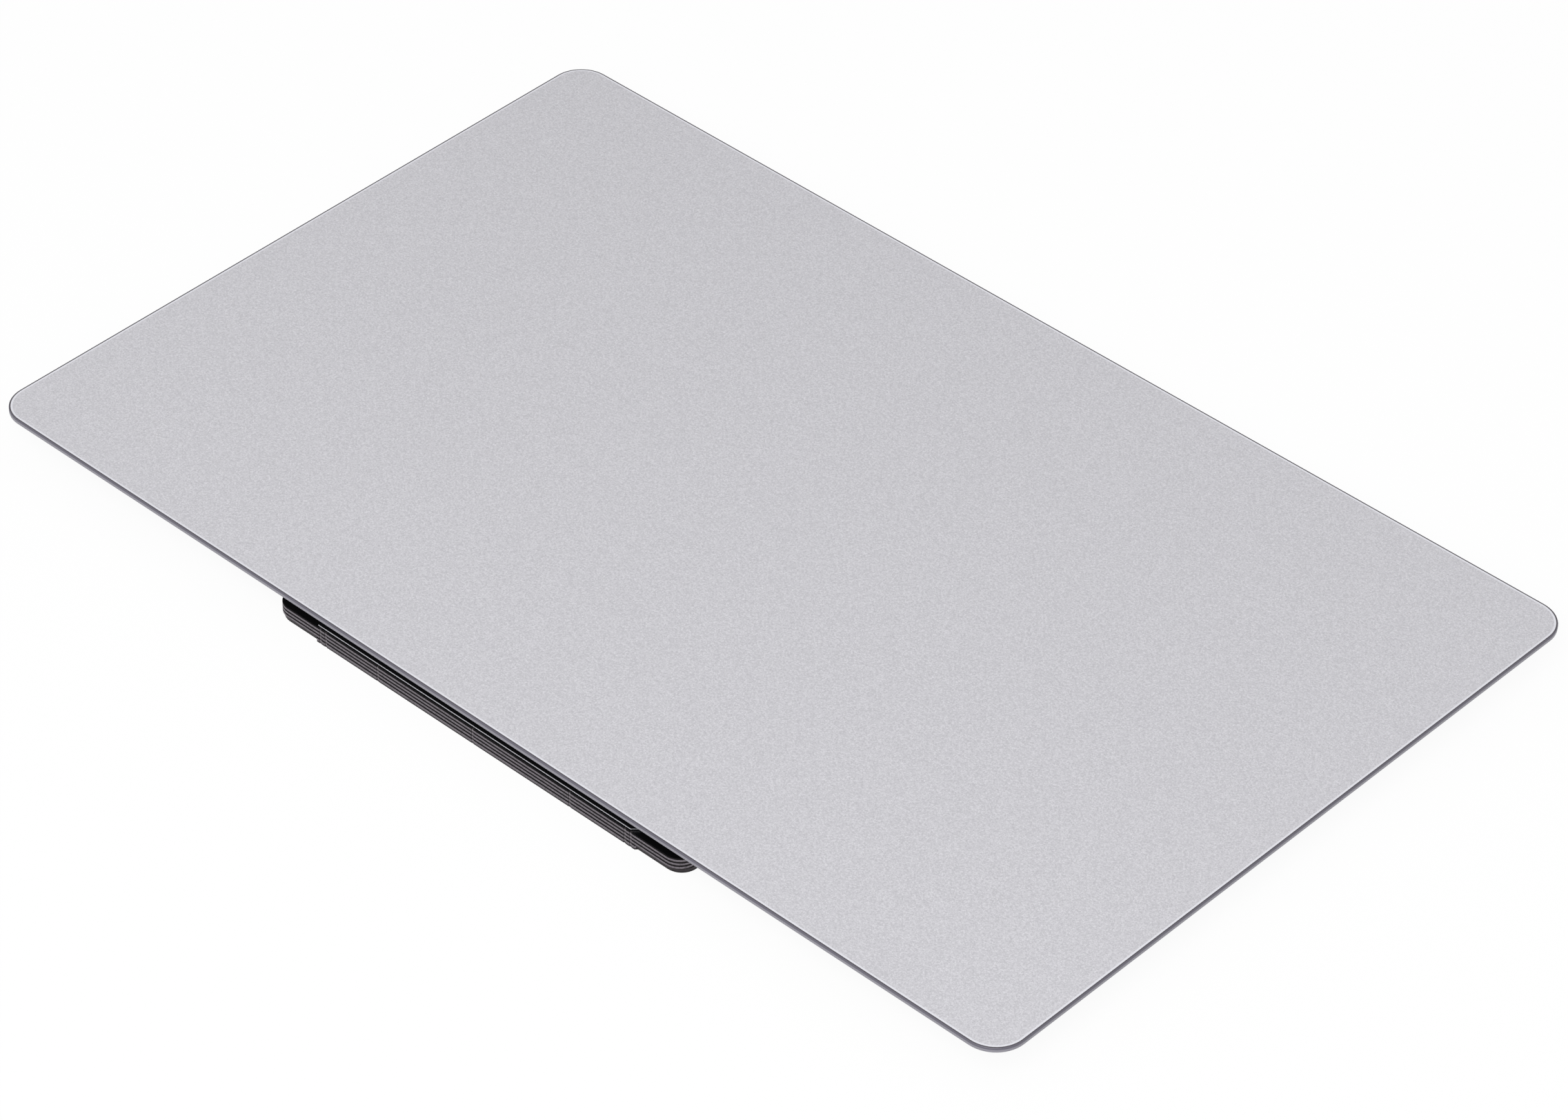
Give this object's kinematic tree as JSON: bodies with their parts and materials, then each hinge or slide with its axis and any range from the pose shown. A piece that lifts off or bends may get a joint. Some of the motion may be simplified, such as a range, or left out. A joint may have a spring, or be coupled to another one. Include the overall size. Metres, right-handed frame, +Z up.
{
  "type": "haptic trackpad module",
  "caption": "Thin satin glass touch plate on flexure arms over a black laminated steel frame that holds a moving-iron haptic drive.",
  "frame": {"origin": "middle of the underside of the laminated frame, which is the middle of the whole part seen from above", "axes": "+X along the long side of the glass, +Y from the front edge to the rear edge, +Z up through the glass"},
  "size_m": [0.134, 0.0834, 0.0045],
  "materials": {
    "back_painted_glass": "satin ground",
    "bonding_film": "clear amber",
    "solder_mask": "satin black mask",
    "bare_steel": "rolled",
    "drive_iron": "ground iron",
    "plated_fasteners": "dull nickel",
    "mould_compound": "matt black",
    "crystal_lid": "satin",
    "ferrite": "matt",
    "tantalum_case": "moulded",
    "ceramic_chip": "ceramic",
    "tinned_steel": "tinned",
    "connector_plastic": "moulded",
    "gold_contact": "gold flash",
    "latch_plastic": "moulded",
    "silicone_gel": "clear gel",
    "black_ply": "black coated, etched edges",
    "shim_film": "matt black",
    "flexure_steel": "black coated, bare edge",
    "clamp_steel": "dark rolled",
    "weld_metal": "laser weld",
    "bumper_rubber": "matt",
    "polyimide": "amber film",
    "bobbin_plastic": "moulded",
    "enamelled_copper": "enamelled wire"
  },
  "bodies": {
    "frame": {"frame_ply_1": "black_ply", "frame_ply_2": "black_ply", "frame_ply_3": "black_ply", "frame_ply_4": "black_ply", "flexure_shim": "shim_film", "flexure_plate": "flexure_steel", "clamp_bars": "clamp_steel", "clamp_screws": "plated_fasteners", "stack_rivets": "plated_fasteners", "weld_beads": "weld_metal", "travel_bumpers": "bumper_rubber", "strain_gauges": "polyimide", "frame_flex": "polyimide", "actuator_core_front": "drive_iron", "actuator_core_rear": "drive_iron", "coil_bobbins": "bobbin_plastic", "coil_front_left": "enamelled_copper", "coil_front_right": "enamelled_copper", "coil_rear_left": "enamelled_copper", "coil_rear_right": "enamelled_copper"},
    "suspension": {"tip_plates": "bare_steel", "gel_pads": "silicone_gel"},
    "touch_plate": {"cover_glass": "back_painted_glass", "glass_adhesive": "bonding_film", "sensor_board": "solder_mask", "stiffener_plate": "bare_steel", "armature_bar": "drive_iron", "armature_screws": "plated_fasteners", "landing_plates": "bare_steel", "touch_controller": "mould_compound", "memory_chip": "mould_compound", "clock_crystal": "crystal_lid", "haptic_driver": "mould_compound", "gauge_amplifier": "mould_compound", "driver_inductors": "ferrite", "bulk_capacitors": "tantalum_case", "board_passives": "ceramic_chip", "board_shield": "tinned_steel", "host_connector": "connector_plastic", "host_contacts": "gold_contact"},
    "connector_latch": {"connector_latch": "latch_plastic"}
  },
  "joints": [
    {"name": "press", "type": "slide", "parent": "frame", "child": "suspension", "axis": [0, 0, -1], "range_m": [0, 0.0002], "stiffness_N_per_m": 14000, "springref_m": -0.00005, "deforming": ["flexure_plate", "strain_gauges", "frame_flex"]},
    {"name": "haptic", "type": "slide", "parent": "suspension", "child": "touch_plate", "axis": [0, 1, 0], "range_m": [-0.00012, 0.00012], "stiffness_N_per_m": 17000, "deforming": ["gel_pads"]},
    {"name": "latch_flip", "type": "hinge", "parent": "touch_plate", "child": "connector_latch", "pos_m": [0, 0.02362, 0.0024], "axis": [-1, 0, 0], "range_deg": [0, 90]}
  ]
}
